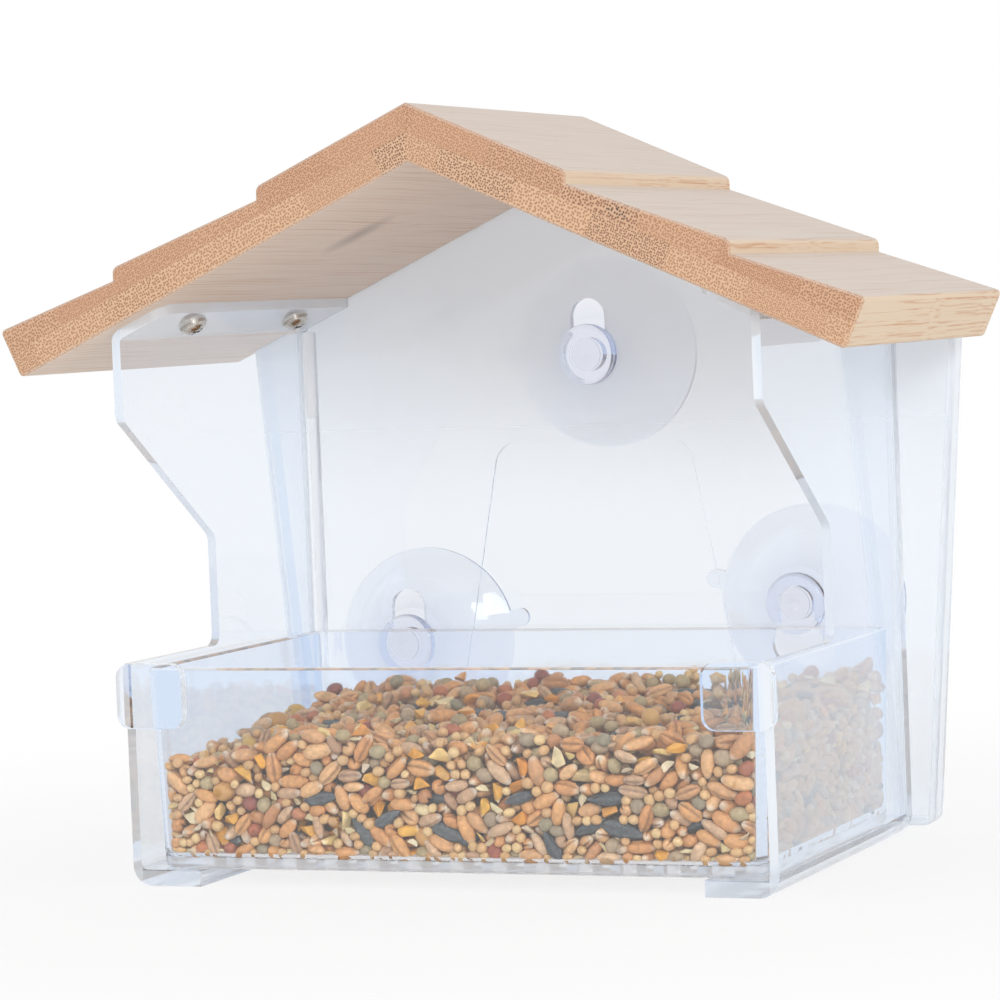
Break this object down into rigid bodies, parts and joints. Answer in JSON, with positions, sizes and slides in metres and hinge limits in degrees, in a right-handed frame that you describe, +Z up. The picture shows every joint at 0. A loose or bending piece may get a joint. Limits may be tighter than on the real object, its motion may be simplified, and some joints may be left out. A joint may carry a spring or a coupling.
{
  "type": "window bird feeder",
  "caption": "Clear house-shaped window bird feeder with a stepped wooden gable roof, a lift-out seed tray with a slotted floor, and suction cups in keyhole slots on its back panel.",
  "frame": {"origin": "on the surface that the feeder stands on, under the middle of its box", "axes": "+Z up, +Y towards the window glass, so the feeder's open front faces -Y, and +X to the right seen from the front"},
  "size_m": [0.1996, 0.117, 0.1693],
  "materials": {
    "clear_shell": "clear gloss",
    "clear_tray": "clear gloss",
    "bamboo": "sanded, satin",
    "screw_steel": "nickel plated",
    "cup_vinyl": "clear soft vinyl"
  },
  "bodies": {
    "house": {"house_shell": "clear_shell", "roof_board_left": "bamboo", "roof_board_right": "bamboo", "roof_screw_left_front": "screw_steel", "roof_screw_left_back": "screw_steel", "roof_screw_right_front": "screw_steel", "roof_screw_right_back": "screw_steel"},
    "tray": {"seed_tray": "clear_tray"},
    "cup_top": {"suction_cup_top": "cup_vinyl"},
    "cup_left": {"suction_cup_left": "cup_vinyl"},
    "cup_right": {"suction_cup_right": "cup_vinyl"}
  },
  "joints": [
    {"name": "tray_lift", "type": "slide", "parent": "house", "child": "tray", "axis": [0, 0, 1], "range_m": [0, 0.048]},
    {"name": "cup_top_slide", "type": "slide", "parent": "house", "child": "cup_top", "axis": [0, 0, 1], "range_m": [0, 0.009]},
    {"name": "cup_left_slide", "type": "slide", "parent": "house", "child": "cup_left", "axis": [0, 0, 1], "range_m": [0, 0.009]},
    {"name": "cup_right_slide", "type": "slide", "parent": "house", "child": "cup_right", "axis": [0, 0, 1], "range_m": [-0.009, 0]}
  ]
}
